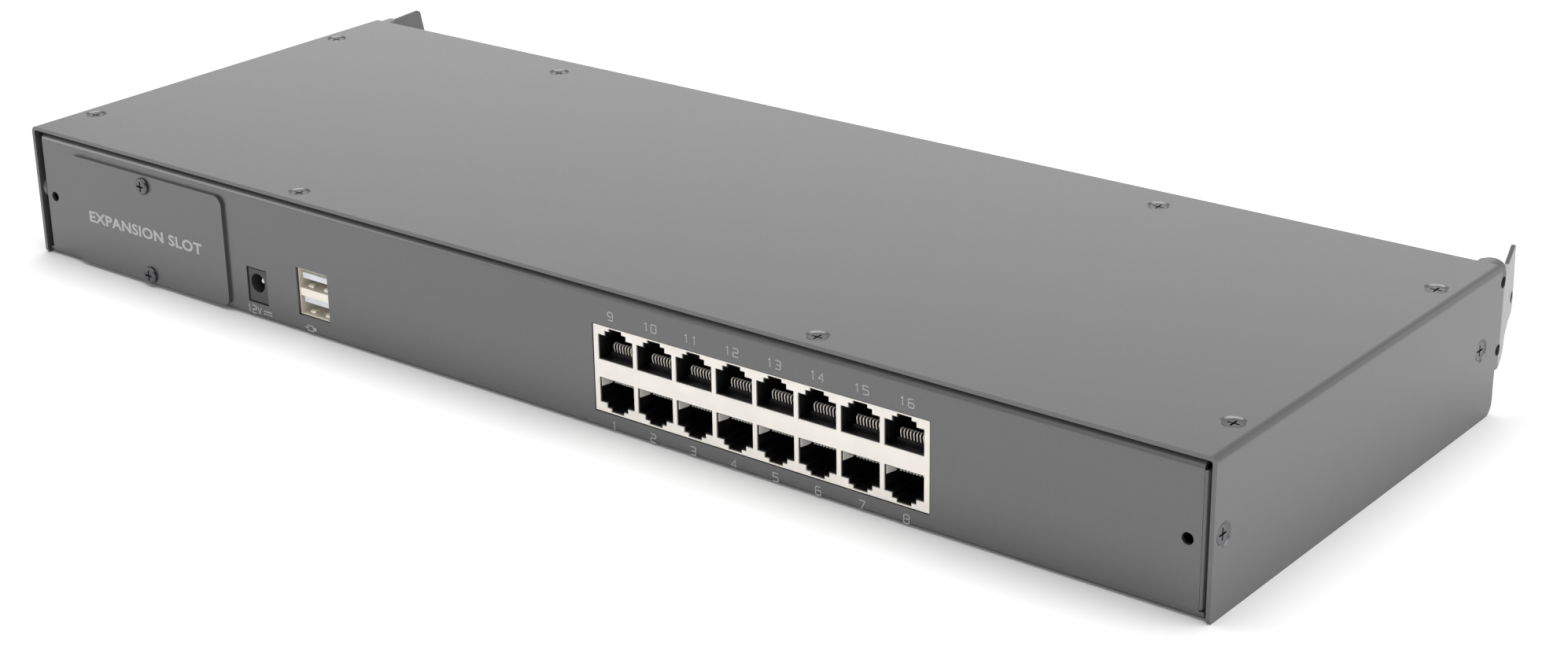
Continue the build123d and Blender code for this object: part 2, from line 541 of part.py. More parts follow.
def make_dc_jack_spring():
    x, y = JACK_AXIS_X, JACK_FACE
    outline = [(x - 3.4, y - 9.4), (x - 3.1, y - 9.4), (x - 2.3, y - 4.0), (x - 3.0, y - 1.2),
               (x - 3.3, y - 1.2), (x - 2.6, y - 4.0)]
    return prism_z(outline, (JACK_AXIS_Z - 1.0, JACK_AXIS_Z + 1.0))


# ---- circuits --------------------------------------------------------------------------------------
def chip(x, y, width, length, height, leads=0):
    """A packaged chip on the board, with its leads along the sides that run along Y."""
    body = block((x - width / 2, x + width / 2), (y - length / 2, y + length / 2),
                 (BOARD_TOP + 0.1, BOARD_TOP + height))
    body = chamfer(body.edges().group_by(Axis.Z)[-1], 0.2)
    pitch = (length - 1.0) / max(leads - 1, 1)
    for i in range(leads):
        lead_y = y - (length - 1.0) / 2 + pitch * i
        body += block((x - width / 2 - 0.9, x + width / 2 + 0.9), (lead_y - 0.2, lead_y + 0.2),
                      (BOARD_TOP, BOARD_TOP + 0.25))
    return body


def make_main_processor():
    return chip(-40.0, 8.0, 26.0, 26.0, 2.4, 20)


def make_heat_sink():
    base = BOARD_TOP + 2.4
    sink = block((-53.0, -27.0), (-5.0, 21.0), (base, base + 2.0))
    for i in range(8):
        x = -52.4 + i * 3.45
        sink += block((x, x + 1.2), (-5.0, 21.0), (base + 2.0, base + 12.0))
    return sink


def make_crosspoint_chips():
    return group(chip(x, 26.0, 12.0, 12.0, 1.6, 11) for x in (-128.0, -104.0, -80.0, -8.0))


def make_port_driver_chips():
    return group(chip(x, 43.5, 5.4, 8.0, 1.5, 8) for x in port_centres())


def make_memory_chips():
    return group(chip(x, -20.0, 10.2, 18.4, 1.2, 14) for x in (-62.0, -42.0))


def make_clock_crystal():
    can = rounded(block((-16.0, -4.6), (-8.0, -3.4), (BOARD_TOP, BOARD_TOP + 3.6)), Axis.Z, 2.2)
    return chamfer(can.edges().group_by(Axis.Z)[-1], 0.3)


def make_bulk_capacitors():
    cans = []
    for x, y in ((104.0, 54.0), (116.0, 54.0), (104.0, 32.0), (116.0, 32.0), (72.0, 12.0)):
        can = rod(x, y, BOARD_TOP, 4.0, 11.5)
        top = can.edges().filter_by(GeomType.CIRCLE).sort_by(Axis.Z)[-1:]
        cans.append(fillet(top, 0.5))
    return group(cans)


def make_power_inductor():
    core = rounded(block((78.0, 90.0), (26.0, 38.0), (BOARD_TOP, BOARD_TOP + 7.0)), Axis.Z, 2.0)
    well = rod(84.0, 32.0, BOARD_TOP + 6.2, 4.2, 2.0)
    return core - well


def make_voltage_regulator():
    tab = block((92.0, 102.0), (8.0, 11.0), (BOARD_TOP, BOARD_TOP + 1.3))
    body = block((92.2, 101.8), (-1.2, 8.0), (BOARD_TOP + 0.1, BOARD_TOP + 4.5))
    legs = [block((x - 0.4, x + 0.4), (-5.4, -1.2), (BOARD_TOP, BOARD_TOP + 0.6))
            for x in (94.4, 97.0, 99.6)]
    return tab + body + legs


def make_expansion_header():
    shroud = block((118.0, 126.5), (-28.0, 22.0), (BOARD_TOP, BOARD_TOP + 9.0))
    shroud -= block((119.0, 125.5), (-27.0, 21.0), (BOARD_TOP + 2.0, BOARD_TOP + 10.0))
    return shroud - block((117.0, 119.5), (-5.2, -0.8), (BOARD_TOP + 2.0, BOARD_TOP + 10.0))


def make_expansion_pins():
    return group(block((x - 0.32, x + 0.32), (y - 0.32, y + 0.32), (BOARD_TOP + 2.0, BOARD_TOP + 8.0))
                 for x in (120.98, 123.52) for y in [-22.05 + 2.54 * i for i in range(16)])


# ---- front wall --------------------------------------------------------------------------------------
def make_channel_button(x):
    """Round cap, collar and plunger stem in one piece; the collar stops it at the wall."""
    cap = rod(x, FRONT_FACE - BUTTON_OUT, BUTTON_Z, BUTTON_R, BUTTON_OUT + SHEET + 0.3, "Y")
    rim = [e for e in cap.edges().filter_by(GeomType.CIRCLE) if e.center().Y < FRONT_FACE - 1]
    cap = fillet(rim, 0.6)
    collar = rod(x, FRONT_INNER + COLLAR_GAP, BUTTON_Z, BUTTON_HOLE_R + 0.9, 1.0, "Y")
    stem = rod(x, FRONT_INNER + 1.0, BUTTON_Z, STEM_R, STEM_LENGTH, "Y")
    return cap + collar + stem


def make_button_switches():
    """A push switch body on the board behind each button, bored for its stem."""
    bodies = []
    for x in BUTTON_XS.values():
        body = block((x - SWITCH_HALF, x + SWITCH_HALF), SWITCH_Y, (BOARD_TOP, BUTTON_Z + SWITCH_HALF))
        bodies.append(body - rod(x, SWITCH_Y[0] - 1, BUTTON_Z, SWITCH_BORE_R, 6.4, "Y"))
    return group(bodies)


def make_channel_display():
    """Two seven-segment digits in one moulded case, stood upright on the board's edge."""
    xs = (DISPLAY_X[0] + 0.4, DISPLAY_X[1] - 0.4)
    return block(xs, (FRONT_INNER + 1.6, FRONT_INNER + 7.8), (BOARD_TOP, DISPLAY_Z[1] - 0.2))


def make_display_window():
    """Clear pane let into the wall, with a rim that rests against its inside."""
    pane = block((DISPLAY_X[0] + PANE_GAP, DISPLAY_X[1] - PANE_GAP), (FRONT_FACE, FRONT_INNER),
                 (DISPLAY_Z[0] + PANE_GAP, DISPLAY_Z[1] - PANE_GAP))
    rim = block((DISPLAY_X[0] - PANE_RIM, DISPLAY_X[1] + PANE_RIM), (FRONT_INNER, FRONT_INNER + 1.0),
                (DISPLAY_Z[0] - PANE_RIM, DISPLAY_Z[1] + PANE_RIM))
    return pane + rim


def d_outline(width, height, margin=0.0):
    """The keystone outline of a D connector, about the connector's middle."""
    slope = tan(radians(10)) * height
    half_w, half_h = width / 2 - margin, height / 2 - margin
    return [(-half_w, half_h), (half_w, half_h), (half_w - slope, -half_h), (-half_w + slope, -half_h)]


def d_body(width, height, margin, ys, corner):
    """A solid with the keystone outline between two Y planes."""
    face = make_face(Polyline(*[(CONSOLE_X + x, ys[0], CONSOLE_Z + z)
                                for x, z in d_outline(width, height, margin)], close=True))
    face = fillet(face.vertices(), corner)
    return extrude(face, ys[1] - ys[0], dir=(0, 1, 0))


def make_console_shell():
    """Steel flange against the wall's inside and the keystone shell through it."""
    half_w, half_h = CONSOLE_FLANGE[0] / 2, CONSOLE_FLANGE[1] / 2
    flange = block((CONSOLE_X - half_w, CONSOLE_X + half_w), (FRONT_INNER, FRONT_INNER + 0.8),
                   (CONSOLE_Z - half_h, CONSOLE_Z + half_h))
    ys = (FRONT_FACE - CONSOLE_OUT + SHEET, FRONT_INNER + 0.8)
    shell = flange + d_body(CONSOLE_SHELL_W, CONSOLE_SHELL_H, 0.0, ys, 1.5)
    shell -= d_body(CONSOLE_SHELL_W, CONSOLE_SHELL_H, 0.4, (ys[0] - 1, ys[1] + 1), 1.1)
    for side in (1, -1):
        x = CONSOLE_X + side * JACKSCREW_SPAN / 2
        shell -= rod(x, FRONT_INNER - 1, CONSOLE_Z, JACKSCREW_R + 0.05, 4, "Y")
    return shell


def console_positions():
    """Three staggered rows of five contacts."""
    spots = []
    for row, z in enumerate(CONSOLE_ROWS):
        shift = CONSOLE_STAGGER if row == 1 else 0.0
        spots += [(CONSOLE_X + (i - 2) * CONSOLE_PITCH - shift, CONSOLE_Z + z) for i in range(5)]
    return spots


def make_console_insert():
    ys = (FRONT_FACE - CONSOLE_OUT + SHEET + 0.3, FRONT_INNER + 2.0)
    insert = d_body(CONSOLE_SHELL_W, CONSOLE_SHELL_H, 0.45, ys, 1.05)
    insert += block((CONSOLE_X - 15.0, CONSOLE_X + 15.0), (FRONT_INNER + 0.85, FRONT_INNER + 8.0),
                    (BOARD_TOP, CONSOLE_Z + 5.6))
    for x, z in console_positions():
        insert -= rod(x, ys[0] - 1, z, 0.66, 6, "Y")
    for side in (1, -1):
        x = CONSOLE_X + side * JACKSCREW_SPAN / 2
        insert -= rod(x, FRONT_INNER, CONSOLE_Z, JACKSCREW_R + 0.05, 12, "Y")
    return insert


def make_console_contacts():
    start = FRONT_FACE - CONSOLE_OUT + SHEET + 0.5
    return group(rod(x, start, z, 0.62, 4.6, "Y") - rod(x, start - 1, z, 0.42, 5, "Y")
                 for x, z in console_positions())


def make_console_jackscrews():
    screws = []
    for side in (1, -1):
        x = CONSOLE_X + side * JACKSCREW_SPAN / 2
        nut = extrude(Plane((x, FRONT_FACE, CONSOLE_Z), x_dir=(1, 0, 0), z_dir=(0, -1, 0))
                      * RegularPolygon(2.9, 6), 5.0)
        nut += rod(x, FRONT_FACE, CONSOLE_Z, JACKSCREW_R, 8.0, "Y")
        screws.append(nut - rod(x, FRONT_FACE - 6, CONSOLE_Z, 1.25, 5.2, "Y"))
    return group(screws)


MAKERS = {
    "top_cover": make_top_cover,
    "base_tray": make_base_tray,
    "option_cover_plate": make_option_cover_plate,
    "option_plate_screws": make_option_plate_screws,
    "cover_top_screws": make_cover_top_screws,
    "cover_side_screws": make_cover_side_screws,
    "main_board": make_main_board,
    "board_standoffs": make_board_standoffs,
    "board_screws": make_board_screws,
    "port_housing": make_port_housing,
    "port_shield": make_port_shield,
    "port_contacts": make_port_contacts,
    "port_ground_springs": make_port_ground_springs,
    "usb_shell": make_usb_shell,
    "usb_insulator": make_usb_insulator,
    "usb_contacts": make_usb_contacts,
    "dc_jack_body": make_dc_jack_body,
    "dc_jack_pin": make_dc_jack_pin,
    "dc_jack_spring": make_dc_jack_spring,
    "main_processor": make_main_processor,
    "heat_sink": make_heat_sink,
    "crosspoint_chips": make_crosspoint_chips,
    "port_driver_chips": make_port_driver_chips,
    "memory_chips": make_memory_chips,
    "clock_crystal": make_clock_crystal,
    "bulk_capacitors": make_bulk_capacitors,
    "power_inductor": make_power_inductor,
    "voltage_regulator": make_voltage_regulator,
    "expansion_header": make_expansion_header,
    "expansion_pins": make_expansion_pins,
    "button_switches": make_button_switches,
    "channel_display": make_channel_display,
    "display_window": make_display_window,
    "console_shell": make_console_shell,
    "console_insert": make_console_insert,
    "console_contacts": make_console_contacts,
    "console_jackscrews": make_console_jackscrews,
}

os.makedirs("parts", exist_ok=True)
for name, make in MAKERS.items():
    export_step(make(), f"parts/{name}.step")
for name, x in BUTTON_XS.items():
    export_step(make_channel_button(x), f"parts/{name}.step")
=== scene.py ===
import json
from math import radians

import bmesh
import bpy
from mathutils import Matrix, Vector


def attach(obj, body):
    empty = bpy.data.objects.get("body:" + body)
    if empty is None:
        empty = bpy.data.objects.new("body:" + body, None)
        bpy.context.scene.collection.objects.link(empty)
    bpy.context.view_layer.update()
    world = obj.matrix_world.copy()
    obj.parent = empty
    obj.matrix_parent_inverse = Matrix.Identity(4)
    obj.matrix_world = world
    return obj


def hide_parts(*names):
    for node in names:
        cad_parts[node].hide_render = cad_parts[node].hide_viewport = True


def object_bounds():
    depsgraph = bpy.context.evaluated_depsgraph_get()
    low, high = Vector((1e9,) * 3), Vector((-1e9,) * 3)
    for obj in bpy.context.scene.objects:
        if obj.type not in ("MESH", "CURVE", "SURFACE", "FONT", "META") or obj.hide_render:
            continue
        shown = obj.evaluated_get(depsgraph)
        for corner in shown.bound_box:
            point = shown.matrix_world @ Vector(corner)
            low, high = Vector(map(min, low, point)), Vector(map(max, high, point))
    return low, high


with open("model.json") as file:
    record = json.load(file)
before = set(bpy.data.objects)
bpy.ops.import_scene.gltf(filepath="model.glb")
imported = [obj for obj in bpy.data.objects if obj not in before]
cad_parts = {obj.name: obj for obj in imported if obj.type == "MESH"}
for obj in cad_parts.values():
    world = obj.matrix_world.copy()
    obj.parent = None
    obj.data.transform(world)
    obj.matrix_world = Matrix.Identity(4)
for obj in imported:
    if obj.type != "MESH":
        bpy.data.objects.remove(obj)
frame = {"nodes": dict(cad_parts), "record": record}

CAD_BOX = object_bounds()
MM = 0.001
NODES = frame["nodes"]
SLOT_OF = {s["node"]: s["material_slot"] for s in frame["record"]["subparts"]}


# ---- node materials -----------------------------------------------------------------
class Shader:
    """A node material with one Principled shader and a few helpers to feed it."""

    def __init__(self, name, base, roughness, metallic=0.0, **constants):
        self.material = bpy.data.materials.new(name)
        self.material.use_nodes = True
        self.tree = self.material.node_tree
        self.shader = self.tree.nodes["Principled BSDF"]
        self.coords = self.tree.nodes.new("ShaderNodeTexCoord").outputs["Object"]
        self.set("Base Color", (*base, 1.0))
        self.set("Roughness", roughness)
        self.set("Metallic", metallic)
        for socket, value in constants.items():
            self.set(socket.replace("_", " "), value)
        self.base, self.roughness, self.last_normal = base, roughness, None

    def set(self, socket, value):
        self.shader.inputs[socket].default_value = value

    def link(self, source, target):
        self.tree.links.new(source, target)

    def scaled(self, stretch):
        mapping = self.tree.nodes.new("ShaderNodeMapping")
        mapping.inputs["Scale"].default_value = stretch
        self.link(self.coords, mapping.inputs["Vector"])
        return mapping.outputs["Vector"]

    def noise(self, scale, detail=3.0, stretch=(1, 1, 1)):
        node = self.tree.nodes.new("ShaderNodeTexNoise")
        node.inputs["Scale"].default_value = scale
        node.inputs["Detail"].default_value = detail
        self.link(self.scaled(stretch), node.inputs["Vector"])
        return node.outputs["Fac"]

    def cells(self, scale):
        node = self.tree.nodes.new("ShaderNodeTexVoronoi")
        node.inputs["Scale"].default_value = scale
        self.link(self.coords, node.inputs["Vector"])
        return node.outputs["Distance"]

    def spread(self, source, low, high, start=0.3, end=0.7):
        """Maps a grey value onto the range low to high."""
        node = self.tree.nodes.new("ShaderNodeMapRange")
        for socket, value in (("From Min", start), ("From Max", end), ("To Min", low), ("To Max", high)):
            node.inputs[socket].default_value = value
        self.link(source, node.inputs["Value"])
        return node.outputs["Result"]

    def vary_colour(self, source, dark, light):
        """Mixes the base colour between a darker and a lighter tone."""
        ramp = self.tree.nodes.new("ShaderNodeValToRGB")
        for element, tone, place in zip(ramp.color_ramp.elements, (dark, light), (0.3, 0.7)):
            element.position = place
            element.color = (*[c * tone for c in self.base], 1.0)
        self.link(source, ramp.inputs["Fac"])
        self.link(ramp.outputs["Color"], self.shader.inputs["Base Color"])
        return self

    def vary_roughness(self, source, spread):
        value = self.spread(source, self.roughness - spread, self.roughness + spread)
        self.link(value, self.shader.inputs["Roughness"])
        return self

    def bump(self, source, depth_mm, strength=1.0):
        node = self.tree.nodes.new("ShaderNodeBump")
        node.inputs["Strength"].default_value = strength
        node.inputs["Distance"].default_value = depth_mm * MM
        self.link(source, node.inputs["Height"])
        if self.last_normal:
            self.link(self.last_normal, node.inputs["Normal"])
        self.last_normal = node.outputs["Normal"]
        self.link(self.last_normal, self.shader.inputs["Normal"])
        return self


def powder_coat(name, base, roughness, metallic=0.6):
    """Fine textured powder coat: a soft grain with slight clouding of tone and gloss."""
    coat = Shader(name, base, roughness, metallic, Specular_IOR_Level=0.5)
    grain = coat.noise(2600, 2.0)
    coat.vary_colour(coat.noise(1400, 2.0), 0.97, 1.03)
    coat.vary_roughness(coat.noise(700, 2.0), 0.015)
    coat.bump(grain, 0.012, 0.35)
    return coat.material


def plated(name, base, roughness, scale=500, stretch=(1, 1, 1), metallic=1.0):
    """Plated metal with faint handling marks and rolling grain."""
    metal = Shader(name, base, roughness, metallic)
    grain = metal.noise(scale, 4.0, stretch)
    metal.vary_colour(metal.noise(120, 3.0), 0.95, 1.03)
    metal.vary_roughness(grain, 0.07)
    metal.bump(grain, 0.004, 0.4)
    return metal.material


def moulded(name, base, roughness, texture_mm=0.01, metallic=0.0):
    """Moulded plastic or epoxy with a fine spark-eroded texture."""
    plastic = Shader(name, base, roughness, metallic, IOR=1.5)
    grain = plastic.noise(3000, 2.0)
    plastic.vary_colour(plastic.noise(200, 3.0), 0.92, 1.08)
    plastic.vary_roughness(plastic.noise(150, 2.0), 0.05)
    plastic.bump(grain, texture_mm, 0.5)
    return plastic.material


def solder_mask(name, base):
    """Green circuit board lacquer over copper tracks that show as a raised pattern."""
    board = Shader(name, base, 0.35, Coat_Weight=0.4, Coat_Roughness=0.15)
    tracks = board.cells(180)
    board.vary_colour(board.noise(350, 4.0), 0.75, 1.3)
    board.bump(board.spread(tracks, 0, 1, 0.2, 0.25), 0.03, 0.6)
    return board.material


def ink(name, base):
    """Silk-screened ink, slightly uneven in cover."""
    film = Shader(name, base, 0.55, Specular_IOR_Level=0.3)
    film.vary_colour(film.noise(1500, 3.0), 0.94, 1.04)
    film.bump(film.noise(2500, 2.0), 0.006, 0.5)
    return film.material


MATERIALS = {
    "case_paint": powder_coat("case_paint", (0.145, 0.145, 0.148), 0.3),
    # case_screw: black plated heads, with the base darkened further as painted shade for the shadowed dimple
    # ring around each head
    "case_screw": plated("case_screw", (0.13, 0.13, 0.135), 0.28),
    "board_screw": plated("board_screw", (0.62, 0.62, 0.63), 0.3),
    "standoff": plated("standoff", (0.72, 0.60, 0.34), 0.3),
    "board": solder_mask("board", (0.012, 0.09, 0.035)),
    "port_plastic": moulded("port_plastic", (0.006, 0.006, 0.0065), 0.42),
    "port_shield": plated("port_shield", (0.94, 0.895, 0.83), 0.45, 300, (1, 1, 6), 0.1),
    # contact_gold: pale gold plating, lightened and made almost non-metallic as a painted highlight so the
    # wires show as bright strokes in the dark ports
    "contact_gold": plated("contact_gold", (0.97, 0.92, 0.82), 0.3, metallic=0.1),
    "usb_shell": plated("usb_shell", (0.92, 0.87, 0.76), 0.35, metallic=0.4),
    "usb_tongue": moulded("usb_tongue", (0.80, 0.82, 0.86), 0.35),
    "jack_plastic": moulded("jack_plastic", (0.045, 0.045, 0.048), 0.4),
    "jack_metal": plated("jack_metal", (0.75, 0.75, 0.75), 0.2),
    "chip_epoxy": moulded("chip_epoxy", (0.012, 0.012, 0.013), 0.5),
    "heat_sink": plated("heat_sink", (0.45, 0.46, 0.48), 0.4, 400, (1, 8, 1)),
    "capacitor": plated("capacitor", (0.62, 0.62, 0.65), 0.3),
    "ferrite": moulded("ferrite", (0.03, 0.03, 0.033), 0.6),
    "crystal_can": plated("crystal_can", (0.66, 0.66, 0.65), 0.25),
    "header_plastic": moulded("header_plastic", (0.012, 0.012, 0.013), 0.5),
    "button_plastic": moulded("button_plastic", (0.03, 0.03, 0.032), 0.45),
    "display_case": moulded("display_case", (0.03, 0.004, 0.004), 0.25),
    "display_window": moulded("display_window", (0.06, 0.005, 0.005), 0.12, 0.001),
    "console_plastic": moulded("console_plastic", (0.015, 0.045, 0.22), 0.4),
    "console_shell": plated("console_shell", (0.74, 0.72, 0.66), 0.28),
    "jackscrew": plated("jackscrew", (0.66, 0.66, 0.65), 0.28),
    "print_ink": ink("print_ink", (0.46, 0.46, 0.46)),
}

for node_name, node_object in NODES.items():
    node_object.data.materials.clear()
    node_object.data.materials.append(MATERIALS[SLOT_OF[node_name]])


# ---- sprung wires in the network ports, all in mm -----------------------------------------
PORTS_PER_ROW, WIRES_PER_PORT = 8, 8
PORT_X, PORT_PITCH, WIRE_PITCH = -80.8, 13.97, 1.02
WIRE_START = 73.55                             # depth of the front of the wires
BLOCK_MID_Z, WIRE_FOOT = 18.55, 4.17           # middle of the block, and the comb's distance from it
# how far back and how high each wire goes from the comb
WIRE_PATH = [(0.3, 0.0), (0.0, 1.5), (0.15, 2.1), (0.7, 2.4), (1.3, 2.3)]
WIRE_HALF, WIRE_THICK = 0.17, 0.26
LOWER_ROW_RISE = 0.4                           # share of the rise in the lower row


def add_port_wires():
    """Eight curved wires in every port, in place of the straight ones."""
    form = bmesh.new()
    for port in range(PORTS_PER_ROW):
        for up in (1, -1):
            share = 1.0 if up > 0 else LOWER_ROW_RISE
            for wire in range(WIRES_PER_PORT):
                x = PORT_X + PORT_PITCH * (port - 3.5) + WIRE_PITCH * (wire - 3.5)
                left, right = x - WIRE_HALF, x + WIRE_HALF
                rings = []
                for back, rise in WIRE_PATH:
                    depth = (WIRE_START - back) * MM
                    low = BLOCK_MID_Z + up * (WIRE_FOOT + rise * share)
                    high = low + up * WIRE_THICK
                    ring = [(left, low), (right, low), (right, high), (left, high)]
                    rings.append([form.verts.new((u * MM, depth, v * MM)) for u, v in ring])
                for near, far in zip(rings, rings[1:]):
                    for i in range(4):
                        form.faces.new((near[i], near[(i + 1) % 4], far[(i + 1) % 4], far[i]))
                form.faces.new(rings[0])
                form.faces.new(rings[-1])
    bmesh.ops.recalc_face_normals(form, faces=form.faces)
    mesh = bpy.data.meshes.new("port_wires")
    form.to_mesh(mesh)
    form.free()
    wires = bpy.data.objects.new("port_wires", mesh)
    bpy.context.scene.collection.objects.link(wires)
    mesh.materials.append(MATERIALS["contact_gold"])
    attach(wires, "case")
    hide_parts("port_contacts")


add_port_wires()


# ---- printed marks and front wall details ----------------------------------------------
REAR_Y, FRONT_Y = 77.2, -77.2
INK_LOW, INK_HIGH = 0.004, 0.05                # the printed film's two faces above the wall, mm
NUMBER_SIZE, NUMBER_STROKE = (1.75, 2.4, 2.75), 0.29
NUMBER_X, NUMBER_PITCH = 30.6, 14.29           # middle of the first port number, and the step
UPPER_NUMBER_Z, LOWER_NUMBER_Z = 33.85, 0.97
POWER_SIZE, POWER_STROKE = (1.6, 2.4, 2.3), 0.36
SIGN_START, SIGN_END = -113.6, -110.0          # ends of the direct current sign's line
PLUG_LEFT, PLUG_LOW = -93.8, 1.5
PLUG_WIDE, PLUG_HIGH, PLUG_STROKE = 2.3, 1.7, 0.3
PLATE_THICK = 1.0                              # the option plate stands this far off the wall
SLOT_WORD_BOLD = 0.03
# strokes of each digit on a grid 0..1 wide and 0..1 high, with cut corners
DIGITS = {
    "0": [[(0.15, 0), (0.85, 0), (1, 0.12), (1, 0.88), (0.85, 1), (0.15, 1), (0, 0.88), (0, 0.12), (0.15, 0)]],
    "1": [[(0.25, 0.8), (0.55, 1), (0.55, 0)]],
    "2": [[(0, 1), (0.85, 1), (1, 0.88), (1, 0.62), (0.85, 0.5), (0.15, 0.5), (0, 0.38), (0, 0), (1, 0)]],
    "3": [[(0, 1), (0.85, 1), (1, 0.88), (1, 0.6), (0.9, 0.5), (0.25, 0.5)],
          [(0.9, 0.5), (1, 0.4), (1, 0.12), (0.85, 0), (0, 0)]],
    "4": [[(0.75, 0), (0.75, 1), (0, 0.32), (1, 0.32)]],
    "5": [[(1, 1), (0, 1), (0, 0.55), (0.85, 0.55), (1, 0.43), (1, 0.12), (0.85, 0), (0, 0)]],
    "6": [[(0.9, 1), (0.15, 1), (0, 0.88), (0, 0.12), (0.15, 0), (0.85, 0), (1, 0.12), (1, 0.42),
           (0.85, 0.54), (0, 0.54)]],
    "7": [[(0, 1), (1, 1), (1, 0.85), (0.4, 0)]],
    "8": [[(0.15, 0.5), (0.85, 0.5), (1, 0.62), (1, 0.88), (0.85, 1), (0.15, 1), (0, 0.88), (0, 0.62),
           (0.15, 0.5), (0, 0.38), (0, 0.12), (0.15, 0), (0.85, 0), (1, 0.12), (1, 0.38), (0.85, 0.5)]],
    "9": [[(0.1, 0), (0.85, 0), (1, 0.12), (1, 0.88), (0.85, 1), (0.15, 1), (0, 0.88), (0, 0.58),
           (0.15, 0.46), (1, 0.46)]],
    "V": [[(0, 1), (0.5, 0), (1, 1)]],
}


class Print:
    """Flat printed strokes and shapes, a film a few hundredths of a millimetre thick."""

    def __init__(self, name, origin, across):
        self.name = name
        self.origin, self.across = Vector(origin), Vector(across)
        self.up = Vector((0, 0, 1))
        self.out = self.across.cross(self.up)
        self.mesh = bmesh.new()

    def spot(self, u, v, lift):
        return (self.origin + self.across * u + self.up * v + self.out * lift) * MM

    def shape(self, points):
        """One filled outline, with its top face and its edge."""
        low = [self.mesh.verts.new(self.spot(u, v, INK_LOW)) for u, v in points]
        high = [self.mesh.verts.new(self.spot(u, v, INK_HIGH)) for u, v in points]
        self.mesh.faces.new(high)
        self.mesh.faces.new(low[::-1])
        for i in range(len(points)):
            j = (i + 1) % len(points)
            self.mesh.faces.new((low[i], low[j], high[j], high[i]))

    def stroke(self, line, width):
        """A path of short bars with mitred joints."""
        line = [Vector(p) for p in line]
        closed = (line[0] - line[-1]).length < 1e-6
        count, half = len(line), width / 2
        left, right = [], []
        for i, point in enumerate(line):
            before = line[-2] if i == 0 and closed else line[max(i - 1, 0)]
            after = line[1] if i == count - 1 and closed else line[min(i + 1, count - 1)]
            sides = [(b - a).normalized() for a, b in ((before, point), (point, after))
                     if (b - a).length > 1e-6]
            normals = [Vector((-d.y, d.x)) for d in sides]
            mitre = sum(normals, Vector((0, 0))).normalized()
            reach = half / max(mitre.dot(normals[0]), 0.5)
            left.append(point + mitre * reach)
            right.append(point - mitre * reach)
        for i in range(count - 1):
            self.shape([right[i], right[i + 1], left[i + 1], left[i]])

    def digits(self, text, middle, low, size, width):
        """Stroke figures centred on a point; size is (width, height, pitch)."""
        wide, high, pitch = size
        start = middle - (pitch * (len(text) - 1) + wide) / 2
        for i, letter in enumerate(text):
            for line in DIGITS[letter]:
                self.stroke([(start + pitch * i + wide * u, low + high * v) for u, v in line], width)

    def word(self, text, middle, low, height, length, bold):
        """A word from the built-in typeface, stretched to a length."""
        curve = bpy.data.curves.new(self.name + "_word", "FONT")
        curve.body, curve.offset, curve.resolution_u = text, bold, 4
        curve.space_character = 1.06
        source = bpy.data.objects.new(self.name + "_word", curve)
        bpy.context.scene.collection.objects.link(source)
        bpy.context.view_layer.update()
        graph = bpy.context.evaluated_depsgraph_get()
        flat = bpy.data.meshes.new_from_object(source.evaluated_get(graph))
        us, vs = [v.co.x for v in flat.vertices], [v.co.y for v in flat.vertices]
        wide, high = max(us) - min(us), max(vs) - min(vs)
        for face in flat.polygons:
            corners = [flat.vertices[i].co for i in face.vertices]
            self.shape([(middle + ((c.x - min(us)) / wide - 0.5) * length,
                         low + (c.y - min(vs)) / high * height) for c in corners])
        bpy.data.objects.remove(source)

    def finish(self):
        bmesh.ops.recalc_face_normals(self.mesh, faces=self.mesh.faces)
        mesh = bpy.data.meshes.new(self.name)
        self.mesh.to_mesh(mesh)
        self.mesh.free()
        piece = bpy.data.objects.new(self.name, mesh)
        bpy.context.scene.collection.objects.link(piece)
        mesh.materials.append(MATERIALS["print_ink"])
        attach(piece, "case")


def print_port_numbers():
    marks = Print("port_number_marks", (0, REAR_Y, 0), (-1, 0, 0))
    for i in range(PORTS_PER_ROW):
        middle = NUMBER_X + NUMBER_PITCH * i
        marks.digits(str(9 + i), middle, UPPER_NUMBER_Z, NUMBER_SIZE, NUMBER_STROKE)
        marks.digits(str(1 + i), middle, LOWER_NUMBER_Z, NUMBER_SIZE, NUMBER_STROKE)
    marks.finish()


def print_power_mark():
    """The supply voltage, with the line and dashes that stand for direct current."""
    marks = Print("power_mark", (0, REAR_Y, 0), (-1, 0, 0))
    marks.digits("12V", -117.9, 1.6, POWER_SIZE, POWER_STROKE)
    marks.stroke([(SIGN_START, 3.2), (SIGN_END, 3.2)], POWER_STROKE)
    for i in range(3):
        marks.stroke([(SIGN_START + 1.35 * i, 2.3), (-112.7 + 1.35 * i, 2.3)], POWER_STROKE)
    marks.finish()


def print_plug_mark():
    """A plain plug outline beside the host sockets."""
    marks = Print("plug_mark", (0, REAR_Y, 0), (-1, 0, 0))
    low, left, right = PLUG_LOW, PLUG_LEFT, PLUG_LEFT + PLUG_WIDE
    high = low + PLUG_HIGH
    marks.stroke([(left, low), (left, high), (right, high), (right, low), (left, low)], PLUG_STROKE)
    marks.shape([(right, low + 0.3), (left + 3.7, low + 0.3), (left + 3.7, low + 1.4), (right, low + 1.4)])
    marks.stroke([(left - 1.3, low + 0.85), (left, low + 0.85)], 0.34)
    marks.finish()


def print_slot_mark():
    marks = Print("expansion_slot_mark", (0, REAR_Y + PLATE_THICK, 0), (-1, 0, 0))
    marks.word("EXPANSION SLOT", -166.8, 16.2, 3.8, 54.9, SLOT_WORD_BOLD)
    marks.finish()


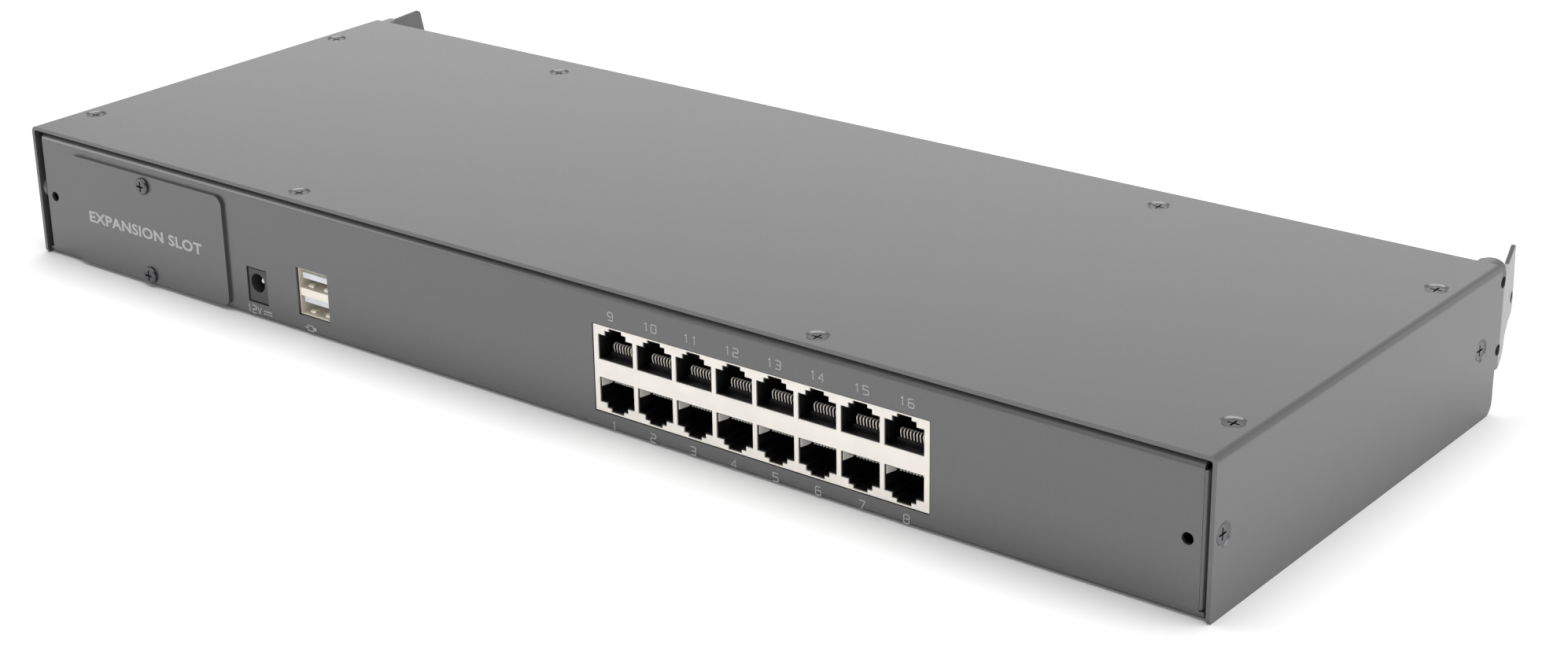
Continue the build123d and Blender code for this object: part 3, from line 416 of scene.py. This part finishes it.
def print_front_marks():
    """Arrows above the channel buttons, and the two bars that the display shows."""
    marks = Print("channel_arrow_marks", (0, FRONT_Y, 0), (1, 0, 0))
    marks.shape([(-31.6, 19.6), (-28.4, 19.6), (-30.0, 22.0)])
    marks.shape([(-47.6, 22.0), (-46.0, 19.6), (-44.4, 22.0)])
    marks.finish()
    digits = Print("display_digits", (0, FRONT_Y, 0), (1, 0, 0))
    for start in (-13.5, -3.3):
        digits.stroke([(start, 14.2), (start + 6.0, 14.2)], 0.8)
    digits.finish()


print_port_numbers()
print_power_mark()
print_plug_mark()
print_slot_mark()
print_front_marks()


# ---- studio ---------------------------------------------------------------------------
CAMERA_AT = Vector((-0.50462, 0.60317, 0.3161))
CAMERA_AIM = Vector((-0.03476, 0.03439, 0.022))
CAMERA_ROLL = -1.366
LENS, SENSOR = 63.516, 36.0
SHIFT_X, SHIFT_Y = 0.0402, -0.0082
FLOOR_REACH = 6.0
WORLD_STRENGTH = 0.4
# name, place, aim, size and power of each softbox
SOFTBOXES = [
    ("top_box", (0.0, -0.2, 1.9), (0, 0, 0), (2.6, 1.6), 50),
    ("low_box", (0.38, -1.8, 0.46), (0, 0, 0.05), (4.0, 0.92), 11.5),
    ("camera_box", (0.3, 1.5, 0.8), (0, 0, 0), (1.0, 0.8), 2),
    ("left_box", (1.2, 0.9, 0.28), (0.2, 0.08, 0), (0.6, 0.4), 2.5),
    ("side_box", (-1.5, -0.5, 0.4), (-0.22, 0, 0.02), (0.9, 0.6), 4.5),
]


def facing(place, aim):
    """The frame of something at place that looks at aim."""
    look = (Vector(aim) - Vector(place)).to_track_quat("-Z", "Y").to_matrix().to_4x4()
    return Matrix.Translation(Vector(place)) @ look


def add_camera():
    data = bpy.data.cameras.new("camera")
    data.lens, data.sensor_width = LENS, SENSOR
    data.shift_x, data.shift_y = SHIFT_X, SHIFT_Y
    data.clip_start, data.clip_end = 0.01, 50.0
    camera = bpy.data.objects.new("camera", data)
    roll = Matrix.Rotation(radians(CAMERA_ROLL), 4, "Z")
    camera.matrix_world = facing(CAMERA_AT, CAMERA_AIM) @ roll
    bpy.context.scene.collection.objects.link(camera)
    bpy.context.scene.camera = camera


def add_softbox(name, place, aim, size, power):
    data = bpy.data.lights.new(name, "AREA")
    data.shape, data.size, data.size_y = "RECTANGLE", size[0], size[1]
    data.energy = power
    light = bpy.data.objects.new(name, data)
    light.matrix_world = facing(place, aim)
    bpy.context.scene.collection.objects.link(light)


def add_floor():
    mesh = bpy.data.meshes.new("floor")
    low = CAD_BOX[0][2]
    corners = [(-1, -1), (1, -1), (1, 1), (-1, 1)]
    mesh.from_pydata([(x * FLOOR_REACH, y * FLOOR_REACH, low) for x, y in corners], [], [(0, 1, 2, 3)])
    floor = bpy.data.objects.new("floor", mesh)
    card = Shader("floor_card", (0.88, 0.88, 0.88), 0.8, Specular_IOR_Level=0.1)
    card.vary_colour(card.noise(30, 2.0), 0.995, 1.005)
    mesh.materials.append(card.material)
    bpy.context.scene.collection.objects.link(floor)


def set_world():
    world = bpy.data.worlds.new("studio")
    bpy.context.scene.world = world
    world.use_nodes = True
    background = world.node_tree.nodes["Background"]
    background.inputs["Color"].default_value = (1, 1, 1, 1)
    background.inputs["Strength"].default_value = WORLD_STRENGTH
    bpy.context.scene.view_settings.view_transform = "Standard"


add_camera()
set_world()
add_floor()
for softbox in SOFTBOXES:
    add_softbox(*softbox)
